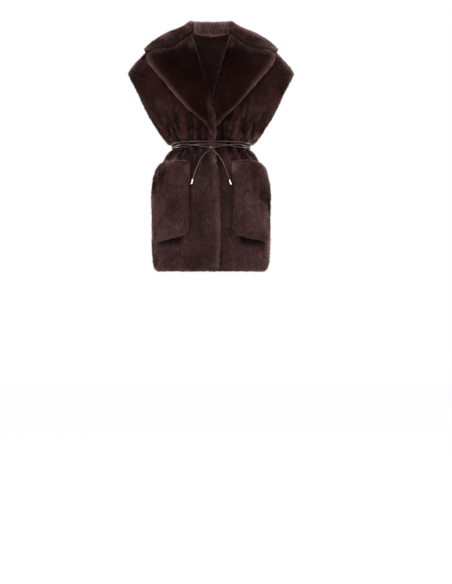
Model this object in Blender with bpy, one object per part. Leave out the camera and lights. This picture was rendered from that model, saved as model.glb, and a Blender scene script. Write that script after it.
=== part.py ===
"""Faux fur vest, worn form: back, crossing fronts, notched collar, lapels, patch pockets and a cord belt.

Metres, +Z up. The front faces -Y and +X is the wearer's left. The origin is between the shoulders, at the
base of the neck. Tables are in millimetres and describe the outside of the fur.
"""

import math

import bmesh
import bpy
import numpy as np

MM = 0.001

# Driving dimensions, in millimetres
SEAM_GAP = 0.3
ROUNDNESS = 2.3
ARMHOLE_BOTTOM = -290.0
CAP_TIP_HEIGHT = -103.0
ARMHOLE_HALF_WIDTH = 56.0
SHOULDER_BASE = -200.0
OVERLAP_CLEARANCE = 2.0
LAPEL_WALL = 14.0
LAPEL_GAP = 0.9
COLLAR_GAP = 1.2
POCKET_WALL = 12.0
POCKET_GAP = 0.8
POCKET_GAPE = 15.0
CORD_DIAMETER = 3.0
CORD_CLEARANCE = 0.9
TIP_LENGTH = 16.0
TIP_DIAMETER = 8.0
KNOT_CENTRE = (0.0, -98.8, -340.0)
KNOT_HALF_SIZE = (5.6, 4.9, 6.2)

# Outside of the body at each height. gather is how deep the gathers are cut into the wall.
SECTION_COLUMNS = ("height", "half_width", "front", "back", "wall", "gather")
SECTIONS = (
    (-733.0, 173.0, 128.0, 122.0, 11.0, 0.0),
    (-727.0, 178.0, 133.0, 127.0, 12.0, 0.0),
    (-716.0, 181.5, 136.5, 130.5, 13.0, 0.0),
    (-690.0, 186.0, 139.0, 134.0, 12.0, 0.0),
    (-620.0, 189.0, 141.0, 138.0, 11.0, 0.0),
    (-520.0, 186.5, 142.0, 140.5, 11.0, 2.0),
    (-460.0, 179.5, 141.0, 139.5, 12.0, 5.0),
    (-422.0, 168.5, 136.0, 135.0, 13.5, 8.0),
    (-395.0, 157.0, 128.0, 127.0, 14.0, 9.5),
    (-374.0, 147.5, 119.0, 118.5, 14.5, 10.5),
    (-360.0, 139.0, 109.5, 110.0, 14.5, 10.5),
    (-350.0, 129.5, 99.0, 99.5, 13.5, 8.0),
    (-345.0, 123.0, 93.0, 93.0, 11.5, 3.5),
    (-333.0, 123.0, 92.0, 92.5, 11.5, 3.5),
    (-328.0, 135.0, 92.0, 102.0, 13.0, 7.0),
    (-317.0, 146.0, 94.5, 109.0, 14.5, 10.5),
    (-306.0, 154.5, 105.0, 113.5, 14.5, 11.0),
    (ARMHOLE_BOTTOM, 166.0, 114.5, 117.0, 14.5, 10.5),
    (-285.0, 170.0, 117.0, 118.0, 14.5, 10.5),
    (-268.0, 183.0, 123.5, 120.0, 14.0, 10.0),
    (-238.0, 201.5, 129.0, 121.0, 13.0, 8.0),
    (SHOULDER_BASE, 221.0, 131.5, 121.5, 12.0, 5.0),
    (-166.0, 236.0, 128.5, 121.0, 11.0, 2.0),
    (-128.0, 256.0, 121.5, 119.5, 11.0, 0.0),
    (CAP_TIP_HEIGHT, 266.0, 115.5, 117.5, 11.0, 0.0),
    (-90.0, 258.0, 111.5, 116.0, 11.0, 0.0),
    (-70.0, 243.0, 104.0, 113.0, 11.0, 0.0),
    (-51.0, 224.0, 95.0, 108.5, 11.0, 0.0),
    (-32.0, 206.0, 84.0, 102.0, 11.0, 0.0),
    (-12.0, 180.0, 70.0, 93.5, 10.0, 0.0),
    (5.0, 150.0, 54.0, 83.0, 9.0, 0.0),
    (24.0, 100.0, 34.0, 62.0, 6.5, 0.0),
    (34.0, 62.0, 22.0, 45.0, 5.0, 0.0),
)
SECTION_TABLE = {name: np.array([row[i] for row in SECTIONS]) for i, name in enumerate(SECTION_COLUMNS)}
BASE_ROWS = [row[0] for row in SECTIONS if row[0] <= SHOULDER_BASE]
# Rows that the plain inside of a panel leaves out
INSIDE_SKIPS = (-350.0, -328.0, -285.0)
SHOULDER_ROWS = 8
SHOULDER_CROWDING = 2.3
NECK_HEIGHTS = (-90.0, -40.0)
NECK_WIDTHS = (110.0, 200.0)

# Front edges: how far each front reaches past the centre line at a height
EDGE_COLUMNS = ("height", "over", "under")
FRONT_EDGES = (
    (-733.0, 20.0, 28.0),
    (-727.0, 22.0, 28.0),
    (-716.0, 25.0, 28.0),
    (-634.0, 31.0, 28.0),
    (-557.0, 30.0, 28.0),
    (-466.0, 25.0, 28.0),
    (-378.0, 17.0, 28.0),
    (-340.0, 13.0, 28.0),
    (-290.0, 10.0, 26.0),
    (-268.0, 8.5, 20.0),
    (-238.0, 6.0, -10.5),
    (SHOULDER_BASE, 1.0, -5.0),
)
EDGE_TABLE = {name: np.array([row[i] for row in FRONT_EDGES]) for i, name in enumerate(EDGE_COLUMNS)}
INSET_FULL_TO = 44.0
INSET_ZERO_AT = 78.0
INSET_START = -238.0

# Gathers: a wave is as long as this share of a panel's columns, and each valley has its own depth
WAVE_SHARE = 0.11
WAVE_STEPS = 4
FRONT_WAVES = (0.80, 1.00, 0.75, 1.05, 0.85)
BACK_WAVES = (0.90, 0.75, 1.05, 0.80, 1.00)
FRONT_FIRST_WAVE = 0.10
BACK_FIRST_WAVE = 0.055
SIDE_SHARES = (0.72, 0.79, 0.86, 0.925, 0.972, 1.0)

# Half thickness of a turned edge, as shares of the wall's, from the very edge inwards
EDGE_ROLL = (0.40, 0.95, 1.22)

# Shoulder lines seen from the front: share of the panel's columns, x and height
FRONT_TOP_LINE = ((0.0, 66.0, 8.0), (0.05, 70.5, 18.0), (0.09, 76.0, 28.5))
BACK_TOP_LINE = ((0.0, 0.0, 22.0), (0.10, 24.0, 23.5), (0.20, 45.0, 27.0), (0.26, 56.0, 31.0), (0.30, 62.0, 34.0))

# Collar, middle of its wall, one half: each section's points from the neck seam over the fold to the outer edge
COLLAR_COLUMNS = ("seam", "stand", "fold", "fall", "shoulder", "edge")
COLLAR_SECTIONS = (
    ((0, 58, 23), (0, 60, 47), (0, 69, 64), (0, 88, 42), (0, 107, -12), (0, 130, -78)),
    ((33, 52, 26), (32, 54, 49), (37, 62, 64), (51, 79, 41), (72, 99, -9), (90, 124, -75)),
    ((54, 33, 32), (52, 34, 51), (60, 38, 63), (86, 48, 42), (128, 70, 3), (170, 90, -58)),
    ((60, 4, 36), (57, 5, 51), (63, 6, 61), (95, 10, 42), (152, 18, 17), (207, 30, -26)),
    ((60, -14, 33), (57.5, -15, 43), (62, -16, 49), (93, -20, 26), (150, -18, 4), (207, -11, -22)),
    ((60, -28, 20), (57.5, -30, 25), (61.5, -37, 26.5), (88, -52, -12), (134, -58, -33), (203, -38, -27)),
)
COLLAR_WALL = {"seam": 9.0, "stand": 10.0, "fold": 11.0, "fall": 13.0, "shoulder": 14.0, "edge": 15.0}
COLLAR_STEPS_ALONG = 3
COLLAR_STEPS_ACROSS = 2
COLLAR_END_ROWS = 3

# Lapels seen from the front, from the bottom up: fold line and outer edge. x grows away from the centre
LAPEL_COLUMNS = ("fold_x", "fold_height", "edge_x", "edge_height")
LAPEL_RIGHT_ROWS = (
    (-10.0, -314.0, -3.0, -313.0),
    (-14.0, -299.0, 0.0, -298.0),
    (-15.0, -283.0, 7.0, -281.0),
    (-13.0, -262.0, 22.0, -261.0),
    (-10.0, -236.0, 49.0, -236.0),
    (-6.0, -210.0, 79.0, -209.0),
    (0.0, -182.0, 108.0, -177.0),
    (8.5, -156.0, 134.0, -146.0),
    (18.0, -126.0, 160.0, -116.0),
    (28.0, -94.0, 179.5, -94.0),
    (37.5, -62.0, 191.0, -79.0),
    (46.5, -32.0, 197.0, -67.0),
    (54.0, -10.0, 198.5, -57.0),
    (60.5, 11.0, 195.0, -48.0),
)
LAPEL_LEFT_ROWS = (
    (15.4, -268.0, 21.0, -266.0),
    (14.2, -252.0, 35.0, -250.0),
    (11.9, -236.0, 49.0, -236.0),
    (7.9, -210.0, 79.0, -208.0),
    (2.1, -184.0, 108.0, -177.0),
) + LAPEL_RIGHT_ROWS[7:]
# How far the lapel's top edge dips below the straight line between its ends, by share of its width
LAPEL_TOP_SHARES = (0.0, 0.09, 0.18, 0.25, 0.4, 0.52, 0.6, 0.75, 0.9, 1.0)
LAPEL_TOP_DIPS = (0.0, 2.0, 8.5, 11.5, 13.0, 11.5, 8.5, 0.0, -6.0, 0.0)
LAPEL_TOP_ROWS = 4
LAPEL_SHARES = (0.0, 0.035, 0.09, 0.18, 0.29, 0.4, 0.52, 0.64, 0.76, 0.86, 0.93, 0.97, 1.0)

# Pockets, from the bottom up: height at the inner edge and at the outer edge, angle round the body at each
POCKET_COLUMNS = ("inner_height", "outer_height", "inner_x", "outer_angle")
POCKET_ROWS = (
    (-606.0, -640.0, 73.0, 61.0),
    (-602.0, -636.0, 69.0, 63.0),
    (-592.0, -626.0, 67.5, 64.5),
    (-560.0, -592.0, 67.0, 68.0),
    (-520.0, -545.0, 67.0, 72.0),
    (-485.0, -503.0, 67.0, 76.0),
    (-450.0, -466.0, 67.0, 79.0),
    (-424.0, -442.0, 67.0, 81.0),
    (-404.0, -424.0, 67.0, 81.5),
    (-392.0, -412.0, 67.0, 80.5),
    (-387.0, -407.0, 67.0, 78.0),
)
POCKET_SHARES = (0.0, 0.03, 0.085, 0.2, 0.34, 0.48, 0.62, 0.75, 0.86, 0.93, 0.975, 1.0)
POCKET_TOP_RISE = 6.0
POCKET_FALLS = (0.5, 1.9)

# Belt: height of each strand by angle from the centre front round to the side, and how far it is lifted
STRAND_ANGLES = (0.0, 4.0, 15.0, 21.0, 27.0, 35.0, 42.0, 55.0, 68.0, 80.0, 90.0)
STRAND_HEIGHTS = {
    "upper": (-321.2, -321.2, -321.2, -321.3, -321.6, -322.1, -322.9, -325.5, -329.8, -333.4, -334.5),
    "middle": (-340.0, -339.5, -335.5, -333.1, -330.5, -329.6, -329.6, -332.6, -335.7, -337.6, -338.0),
    "lower": (-330.1, -330.1, -330.4, -332.2, -334.8, -337.4, -338.4, -339.5, -340.5, -341.3, -341.5),
}
STRAND_LIFTS = {
    "upper": (0.0,) * len(STRAND_ANGLES),
    "middle": (3.6, 3.6, 3.6, 3.6, 3.4, 1.8, 0.5, 0.0, 0.0, 0.0, 0.0),
    "lower": (0.0,) * len(STRAND_ANGLES),
}
STRAND_ORDER = ("middle", "upper", "lower", "middle")
CROSSING_LIFT = 3.7
BELT_POINTS = 60
BELT_SIDES = 6
KNOT_ENTRY_X = 5.7

# Free ends of the belt: x and height from the knot down, with how far the cord stands off the fur
END_COLUMNS = ("x", "height", "stand_off")
END_RIGHT = (
    (-3.0, -346.9, 4.9),
    (-10.0, -354.0, 4.0),
    (-21.0, -362.5, 2.4),
    (-34.0, -382.0, 2.4),
    (-45.0, -407.0, 2.6),
    (-52.0, -427.5, 3.6),
    (-56.5, -443.0, 5.4),
)
END_LEFT = (
    (3.0, -346.9, 4.9),
    (10.5, -354.5, 4.0),
    (22.0, -364.5, 2.4),
    (35.0, -384.0, 2.4),
    (46.0, -409.0, 2.6),
    (53.0, -429.0, 3.6),
    (57.5, -444.5, 5.4),
)
END_SAMPLES = 24

# Metal tip: distance along it and radius, from the cord's side to its flared mouth
TIP_PROFILE = ((0.0, 2.3), (1.2, 2.9), (4.5, 3.0), (9.0, 3.3), (13.0, 3.8), (15.2, 4.0), (16.0, 3.5))
TIP_SIDES = 14

MATERIALS = {
    "fur": ((0.058, 0.026, 0.024, 1.0), 0.9, 0.0),
    "fur_dark": ((0.030, 0.013, 0.012, 1.0), 0.9, 0.0),
    "leather": ((0.030, 0.016, 0.014, 1.0), 0.35, 0.0),
    "tip_metal": ((0.78, 0.66, 0.46, 1.0), 0.25, 1.0),
}


def at_height(name, height):
    return float(np.interp(height, SECTION_TABLE["height"], SECTION_TABLE[name]))


def armhole_half_width(height):
    """Half of the armhole's front-to-back opening, zero at the side seam and at the cap's tip."""
    share = (height - ARMHOLE_BOTTOM) / (CAP_TIP_HEIGHT - ARMHOLE_BOTTOM)
    if share <= 0.0 or share >= 1.0:
        return 0.0
    return ARMHOLE_HALF_WIDTH * math.sin(math.pi * share) ** 0.55


def section_size(height, side):
    """Half width and depth of the closed section that a panel is cut from. side is -1 for front, 1 for back."""
    depth = at_height("front" if side < 0 else "back", height)
    reach = at_height("half_width", height)
    open_share = min(armhole_half_width(height) / depth, 0.95)
    return reach / (1.0 - open_share**ROUNDNESS) ** (1.0 / ROUNDNESS), depth


def section_point(angle, height, side):
    """Point of the outside at an angle in degrees from the centre line."""
    width, depth = section_size(height, side)
    sine = math.sin(math.radians(angle))
    cosine = max(math.cos(math.radians(angle)), 0.0)
    x = math.copysign(width * abs(sine) ** (2.0 / ROUNDNESS), sine)
    return np.array((x, side * depth * cosine ** (2.0 / ROUNDNESS), height))


def section_angle(x, height, side):
    width, _ = section_size(height, side)
    share = min(abs(x) / width, 1.0)
    return math.copysign(math.degrees(math.asin(share ** (ROUNDNESS / 2.0))), x)


def outside(x, height, side):
    """Point of the outside that lies at x and height."""
    point = section_point(section_angle(x, height, side), height, side)
    point[0] = x
    return point


def smooth_step(value, low, high):
    share = min(max((value - low) / (high - low), 0.0), 1.0)
    return share * share * (3.0 - 2.0 * share)


def body_level(point, side):
    """1 on the outside of the body, less within it."""
    x, y, height = point
    height = min(height, SECTION_TABLE["height"][-1])
    width, depth = section_size(height, side)
    return ((abs(x) / width) ** ROUNDNESS + (abs(y) / depth) ** ROUNDNESS) ** (1.0 / ROUNDNESS)


def level_slope(point, side):
    """How fast body_level grows along each axis."""
    slope = np.zeros(3)
    for axis in range(3):
        ahead = np.array(point, float)
        behind = np.array(point, float)
        ahead[axis] += 1.0
        behind[axis] -= 1.0
        slope[axis] = (body_level(ahead, side) - body_level(behind, side)) / 2.0
    return slope


def facing(point, side):
    """Unit vector pointing out of the body at a point of its outside."""
    slope = level_slope(point, side)
    return slope / np.linalg.norm(slope)


def grid_facing(points, side):
    """Unit normals of a grid of points, pointing out. By the neck, where the grid is skewed, the body's own."""
    normals = np.cross(np.gradient(points, axis=1), np.gradient(points, axis=0))
    normals /= np.maximum(np.linalg.norm(normals, axis=2, keepdims=True), 1e-9)
    middle = normals[normals.shape[0] // 3, normals.shape[1] // 2]
    normals *= 1.0 if middle[1] * side > 0 else -1.0
    for i, j in np.ndindex(points.shape[:2]):
        x, _, height = points[i, j]
        share = smooth_step(height, *NECK_HEIGHTS) * (1.0 - smooth_step(abs(x), *NECK_WIDTHS))
        if share > 0.0:
            if np.dot(normals[i, j], facing(points[i, j], side)) < 0.0:
                normals[i, j] *= -1.0
            normals[i, j] = normals[i, j] * (1.0 - share) + facing(points[i, j], side) * share
    for i in np.flatnonzero((points[:, -1, 2] > ARMHOLE_BOTTOM) & (points[:, -1, 2] < CAP_TIP_HEIGHT + 15.0)):
        normals[i, -1] = normals[i, -3]
        normals[i, -2] = normals[i, -3]
        if points[0, 0, 0] < -100.0:
            normals[i, 0] = normals[i, 2]
            normals[i, 1] = normals[i, 2]
    return normals / np.linalg.norm(normals, axis=2, keepdims=True)


def gather_depth(share, first_wave, depths):
    """How deep the gathers are at a share of the panel's columns, 0 on a ridge and 1 in a full valley."""
    phase = (share - first_wave) / WAVE_SHARE
    index = math.floor(phase)
    if index < 0 or index >= len(depths):
        return 0.0
    return depths[index] * (1.0 - abs(math.cos(math.pi * (phase - index))))


def panel_shares(first_wave, waves, lead):
    """Shares of a panel's width that get a column: its turned edge, four to a gather, and the side."""
    step = WAVE_SHARE / WAVE_STEPS
    gathers = [first_wave + step * i for i in range(waves * WAVE_STEPS + 1)]
    return tuple(lead) + tuple(gathers) + SIDE_SHARES


def top_line(share, points):
    """Point of the neckline and shoulder seam at a share of the panel's columns."""
    shares = [row[0] for row in points]
    if share <= shares[-1]:
        x = float(np.interp(share, shares, [row[1] for row in points]))
        return x, float(np.interp(share, shares, [row[2] for row in points]))
    neck = points[-1][1]
    tip = at_height("half_width", CAP_TIP_HEIGHT)
    x = neck + (tip - neck) * (share - shares[-1]) / (1.0 - shares[-1])
    ridge = SECTION_TABLE["height"] >= CAP_TIP_HEIGHT
    widths = SECTION_TABLE["half_width"][ridge][::-1]
    return x, float(np.interp(x, widths, SECTION_TABLE["height"][ridge][::-1]))


def panel_outside(side, shares, start_x, top_points):
    """Outer points of a half panel, from the hem up to the neckline and the shoulder seam."""
    rows = []
    for height in BASE_ROWS:
        first = section_angle(start_x(height), height, side)
        last = section_angle(at_height("half_width", height), height, side)
        rows.append([section_point(first + (last - first) * share, height, side) for share in shares])
    base = rows[-1]
    for step in range(1, SHOULDER_ROWS + 1):
        rise = 1.0 - ((SHOULDER_ROWS - step) / SHOULDER_ROWS) ** SHOULDER_CROWDING
        row = []
        for share, low in zip(shares, base):
            x_top, top = top_line(share, top_points)
            x = low[0] + (x_top - low[0]) * rise
            height = low[2] + (top - low[2]) * rise
            if share == 1.0:
                x = at_height("half_width", height)
            row.append(outside(x, height, side))
        rows.append(row)
    return np.array(rows)


def free_edges(rows, shares):
    """Share of the wall's half thickness at each point: less at the turned hem and at the armhole."""
    roll = np.ones((len(rows), len(shares)))
    for i, share in enumerate(EDGE_ROLL):
        roll[i, :] = share
    heights = rows[:, -1, 2]
    in_armhole = (heights > ARMHOLE_BOTTOM) & (heights < CAP_TIP_HEIGHT)
    for i, share in enumerate(EDGE_ROLL):
        roll[in_armhole, -1 - i] = np.minimum(roll[in_armhole, -1 - i], share)
    return roll


def zip_sides(outer, inner, outer_at, inner_at):
    """Triangles between two rows of vertices that share their ends' places along outer_at and inner_at."""
    faces = []
    a = b = 0
    while a < len(outer) - 1 or b < len(inner) - 1:
        next_outer = outer_at[a + 1] if a < len(outer) - 1 else math.inf
        next_inner = inner_at[b + 1] if b < len(inner) - 1 else math.inf
        if next_outer <= next_inner:
            faces.append((outer[a], outer[a + 1], inner[b]))
            a += 1
        else:
            faces.append((outer[a], inner[b + 1], inner[b]))
            b += 1
    return faces


def make_object(name, vertices, faces, material, smooth=True):
    """One closed object from points in millimetres, its faces turned outwards."""
    mesh = bpy.data.meshes.new(name)
    kept = [tuple(dict.fromkeys(face)) for face in faces]
    mesh.from_pydata([tuple(float(c) * MM for c in v) for v in vertices], [], [f for f in kept if len(f) > 2])
    work = bmesh.new()
    work.from_mesh(mesh)
    bmesh.ops.delete(work, geom=[v for v in work.verts if not v.link_faces], context="VERTS")
    bmesh.ops.recalc_face_normals(work, faces=work.faces)
    work.to_mesh(mesh)
    work.free()
    if smooth:
        mesh.shade_smooth()
    mesh.materials.append(material)
    made = bpy.data.objects.new(name, mesh)
    bpy.context.scene.collection.objects.link(made)
    return made


def wall_object(name, outer, inner, material, inside_rows=None, inside_columns=None):
    """A closed wall between two grids. The inner grid may keep only some rows and columns."""
    rows, columns = outer.shape[:2]
    keep_rows = sorted(set(inside_rows if inside_rows else range(rows)) | {0, rows - 1})
    keep_columns = sorted(set(inside_columns if inside_columns else range(columns)) | {0, columns - 1})
    vertices = [outer[i, j] for i in range(rows) for j in range(columns)]
    outer_id = np.arange(rows * columns).reshape(rows, columns)
    first = len(vertices)
    vertices += [inner[i, j] for i in keep_rows for j in keep_columns]
    inner_id = first + np.arange(len(keep_rows) * len(keep_columns)).reshape(len(keep_rows), len(keep_columns))
    faces = []
    for ids in (outer_id, inner_id):
        for i in range(ids.shape[0] - 1):
            for j in range(ids.shape[1] - 1):
                faces.append((ids[i, j], ids[i, j + 1], ids[i + 1, j + 1], ids[i + 1, j]))
    faces += zip_sides(outer_id[0], inner_id[0], range(columns), keep_columns)
    faces += zip_sides(outer_id[-1], inner_id[-1], range(columns), keep_columns)
    faces += zip_sides(outer_id[:, 0], inner_id[:, 0], range(rows), keep_rows)
    faces += zip_sides(outer_id[:, -1], inner_id[:, -1], range(rows), keep_rows)
    return make_object(name, vertices, faces, material)


def inside_rows_of(points):
    """Rows kept inside: all but those of INSIDE_SKIPS, and every second one of the shoulder."""
    base = [i for i in range(len(BASE_ROWS)) if BASE_ROWS[i] not in INSIDE_SKIPS]
    return base + list(range(len(BASE_ROWS) - 1, len(points), 2)) + [len(points) - 2]


def inside_columns_of(count, lead):
    """Columns kept inside: the turned edge's, every fourth gather column, and the side's."""
    return list(range(lead)) + list(range(lead, count - 6, WAVE_STEPS)) + list(range(count - 5, count))


def panel_walls(points, side, depths, first_wave, shares, roll, inset=None):
    """Outer and inner points of a panel from its outside, with its gathers, rolls and seams."""
    normals = grid_facing(points, side)
    level = np.array([[smooth_step(p[2], -240.0, -180.0) for p in row] for row in points])
    normals[..., 2] *= level
    normals /= np.linalg.norm(normals, axis=2, keepdims=True)
    wall = np.array([[at_height("wall", p[2]) for p in row] for row in points])[..., None]
    deepest = np.array([[at_height("gather", p[2]) for p in row] for row in points])
    valleys = np.array([gather_depth(abs(share), first_wave, depths) for share in shares])
    gather = (deepest * valleys)[..., None]
    if inset is not None:
        points = points - normals * inset[..., None]
    middle = points - normals * wall / 2.0
    outer = middle + normals * wall / 2.0 * roll[..., None] - normals * gather
    inner = middle - normals * wall / 2.0 * np.minimum(roll[..., None], 1.05)
    for grid in (outer, inner):
        grid[..., 1] = side * np.maximum(side * grid[..., 1], SEAM_GAP / 2.0)
    return outer, inner


def seam_to_centre(outer, inner, points, side):
    """Puts a panel's side seam and shoulder seam on the plane between front and back."""
    closed = np.abs(points[..., 1]) < 0.5
    for grid in (outer, inner):
        grid[closed, 1] = side * SEAM_GAP / 2.0


def make_back(material):
    shares = panel_shares(BACK_FIRST_WAVE, len(BACK_WAVES), (0.0, BACK_FIRST_WAVE / 2.0))
    half = panel_outside(1, shares, lambda height: 0.0, BACK_TOP_LINE)
    roll_half = free_edges(half, shares)
    mirrored = half[:, :0:-1] * np.array((-1.0, 1.0, 1.0))
    points = np.concatenate((mirrored, half), axis=1)
    all_shares = tuple(-s for s in shares[:0:-1]) + shares
    roll = np.concatenate((roll_half[:, :0:-1], roll_half), axis=1)
    outer, inner = panel_walls(points, 1, BACK_WAVES, BACK_FIRST_WAVE, all_shares, roll)
    seam_to_centre(outer, inner, points, 1)
    count = len(shares)
    kept = inside_columns_of(count, 1)
    columns = [count - 1 - j for j in kept] + [count - 1 + j for j in kept]
    return wall_object("back", outer, inner, material, inside_rows_of(points), columns)


def edge_reach(name, height):
    return float(np.interp(height, EDGE_TABLE["height"], EDGE_TABLE[name]))


def make_front(name, mirror, material):
    """One front. The right one, mirror -1, lies on top; the left one passes under it."""
    over = "over" if mirror < 0 else "under"
    shares = panel_shares(FRONT_FIRST_WAVE, len(FRONT_WAVES), (0.0, 0.025, 0.06))
    points = panel_outside(-1, shares, lambda height: -edge_reach(over, height), FRONT_TOP_LINE)
    roll = free_edges(points, shares)
    for i, share in enumerate(EDGE_ROLL):
        roll[:, i] = np.minimum(roll[:, i], share)
    inset = None
    if mirror > 0:
        passing = [at_height("wall", row[0][2]) + OVERLAP_CLEARANCE for row in points]
        depth = [d * smooth_step(-row[0][2], -SHOULDER_BASE, -INSET_START) for d, row in zip(passing, points)]
        ramp = [[1.0 - smooth_step(p[0], INSET_FULL_TO, INSET_ZERO_AT) for p in row] for row in points]
        inset = np.array(ramp) * np.array(depth)[:, None]
    outer, inner = panel_walls(points, -1, FRONT_WAVES, FRONT_FIRST_WAVE, shares, roll, inset)
    seam_to_centre(outer, inner, points, -1)
    flip = np.array((float(mirror), 1.0, 1.0))
    columns = inside_columns_of(len(shares), 3)
    return wall_object(name, outer * flip, inner * flip, material, inside_rows_of(points), columns)


def curve_points(points, steps):
    """Catmull-Rom curve through points, with this many steps between each two."""
    points = np.array(points, float)
    padded = np.concatenate(([2 * points[0] - points[1]], points, [2 * points[-1] - points[-2]]))
    made = []
    for i in range(len(points) - 1):
        a, b, c, d = padded[i : i + 4]
        for k in range(steps):
            t = k / steps
            made.append(
                0.5 * (2 * b + (c - a) * t + (2 * a - 5 * b + 4 * c - d) * t**2 + (3 * b - a - 3 * c + d) * t**3)
            )
    made.append(points[-1])
    return np.array(made)


def stand_off(point, least):
    """Moves a point out of the body until it is at least this far from the outside."""
    side = -1 if point[1] < 0 else 1
    if point[2] >= SECTION_TABLE["height"][-1]:
        return point
    slope = level_slope(point, side)
    steepness = np.linalg.norm(slope)
    distance = (body_level(point, side) - 1.0) / steepness
    if distance >= least:
        return point
    return np.array(point) + slope / steepness * (least - distance)


def make_collar(material):
    """Stand and fall as one folded wall, round the neck from one front to the other."""
    along = [curve_points([section[i] for section in COLLAR_SECTIONS], COLLAR_STEPS_ALONG) for i in range(6)]
    rows = [curve_points(points, COLLAR_STEPS_ACROSS) for points in zip(*along)]
    places = np.arange(len(rows[0])) / COLLAR_STEPS_ACROSS
    walls = np.interp(places, range(6), [COLLAR_WALL[name] for name in COLLAR_COLUMNS])
    half = np.array(rows)
    fall_at = COLLAR_COLUMNS.index("fall") * COLLAR_STEPS_ACROSS
    for i in range(half.shape[0]):
        for j in range(fall_at - 1, half.shape[1]):
            for _ in range(4):
                half[i, j] = stand_off(half[i, j], walls[j] / 2.0 + COLLAR_GAP)
    mirrored = half[:0:-1] * np.array((-1.0, 1.0, 1.0))
    points = np.concatenate((mirrored, half))
    normals = np.cross(np.gradient(points, axis=0), np.gradient(points, axis=1))
    normals /= np.linalg.norm(normals, axis=2, keepdims=True)
    middle_row = len(points) // 2
    if normals[middle_row, -3, 1] < 0:
        normals = -normals
    roll = np.ones(points.shape[:2])
    for i, share in enumerate(EDGE_ROLL[:2]):
        roll[:, -1 - i] = share
        roll[i, :] = np.minimum(roll[i, :], share)
        roll[-1 - i, :] = np.minimum(roll[-1 - i, :], share)
    half_wall = (walls / 2.0 * roll)[..., None]
    outer = points + normals * half_wall
    inner = points - normals * half_wall
    for j in range(fall_at):
        share = j / fall_at
        inner[:, j] = inner[:, 0] * (1.0 - share) + inner[:, fall_at] * share
    for i in range(-COLLAR_END_ROWS, COLLAR_END_ROWS):
        for j in range(COLLAR_STEPS_ACROSS, fall_at):
            for _ in range(4):
                inner[i, j] = stand_off(inner[i, j], COLLAR_GAP)
    return wall_object("collar", outer, inner, material)


def lapel_grid(rows):
    """Lapel points seen from the front, bottom row first, columns from the fold line to the outer edge."""
    count = len(rows)
    grid = []
    for i, (fold_x, fold_height, edge_x, edge_height) in enumerate(rows):
        share_up = smooth_step(i, count - 1 - LAPEL_TOP_ROWS, count - 1)
        line = []
        for share in LAPEL_SHARES:
            dip = float(np.interp(share, LAPEL_TOP_SHARES, LAPEL_TOP_DIPS)) * share_up
            x = fold_x + (edge_x - fold_x) * share
            line.append((x, fold_height + (edge_height - fold_height) * share - dip))
        grid.append(line)
    return grid


def bulge_at(grid, bases, i, j):
    """How far the outside rises over the straight lines from a grid point to the points next to it."""
    normal = facing(bases[i, j], -1)
    most = 0.0
    for down in (-1, 0, 1):
        for along in (-1, 0, 1):
            k, m = i + down, j + along
            if 0 <= k < len(grid) and 0 <= m < len(grid[0]):
                x = (grid[i][j][0] + grid[k][m][0]) / 2.0
                height = (grid[i][j][1] + grid[k][m][1]) / 2.0
                rise = outside(x, height, -1) - (bases[i, j] + bases[k, m]) / 2.0
                most = max(most, float(np.dot(rise, normal)))
    return most


def lying_on_front(grid, gap, wall, roll):
    """Outer and inner points of a piece that lies on the fronts, from its points seen from the front."""
    bases = np.array([[outside(x, height, -1) for x, height in line] for line in grid])
    outer = np.zeros(bases.shape)
    inner = np.zeros(bases.shape)
    for i in range(bases.shape[0]):
        for j in range(bases.shape[1]):
            out = facing(bases[i, j], -1)
            clear = gap + bulge_at(grid, bases, i, j)
            middle = bases[i, j] + out * (clear + wall / 2.0)
            outer[i, j] = middle + out * wall / 2.0 * roll[i, j]
            inner[i, j] = middle - out * wall / 2.0 * min(roll[i, j], 1.0)
    return outer, inner


def make_lapel(name, mirror, rows, material):
    grid = lapel_grid(rows)
    roll = np.ones((len(grid), len(LAPEL_SHARES)))
    for i, share in enumerate(EDGE_ROLL):
        roll[:, i] = np.minimum(roll[:, i], share)
        roll[:, -1 - i] = np.minimum(roll[:, -1 - i], share)
        roll[-1 - i, :] = np.minimum(roll[-1 - i, :], share)
    roll[0, :] = np.minimum(roll[0, :], EDGE_ROLL[0])
    outer, inner = lying_on_front(grid, LAPEL_GAP, LAPEL_WALL, roll)
    flip = np.array((float(mirror), 1.0, 1.0))
    return wall_object(name, outer * flip, inner * flip, material)


def make_pocket(name, mirror, material):
    """A patch pocket whose mouth gapes at the top."""
    count = len(POCKET_ROWS)
    outer, inner = [], []
    for i, (inner_height, outer_height, inner_x, outer_angle) in enumerate(POCKET_ROWS):
        outer_line, inner_line = [], []
        inner_angle = section_angle(inner_x, inner_height, -1)
        for j, share in enumerate(POCKET_SHARES):
            fall = share ** (POCKET_FALLS[0] + (POCKET_FALLS[1] - POCKET_FALLS[0]) * smooth_step(i, 0, 5))
            height = inner_height + (outer_height - inner_height) * fall
            rise = POCKET_TOP_RISE * math.sin(math.pi * share) * smooth_step(i, 5, count - 1)
            angle = inner_angle + (outer_angle - inner_angle) * share
            base = section_point(angle, height + rise, -1)
            out = facing(base, -1)
            out[2] *= 0.3
            out /= np.linalg.norm(out)
            gape = POCKET_GAPE * math.sin(math.pi * share) ** 1.2 * smooth_step(i, 0, count - 2)
            roll = 1.0
            for k, value in enumerate(EDGE_ROLL):
                if k in (j, len(POCKET_SHARES) - 1 - j, i, count - 1 - i):
                    roll = min(roll, value)
            middle = base + out * (POCKET_GAP + gape + POCKET_WALL / 2.0)
            outer_line.append(middle + out * POCKET_WALL / 2.0 * roll)
            inner_line.append(middle - out * POCKET_WALL / 2.0 * min(roll, 1.0))
        outer.append(outer_line)
        inner.append(inner_line)
    flip = np.array((float(mirror), 1.0, 1.0))
    return wall_object(name, np.array(outer) * flip, np.array(inner) * flip, material)


def strand(name, table, angle):
    return float(np.interp(abs(angle), STRAND_ANGLES, table[name]))


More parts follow.
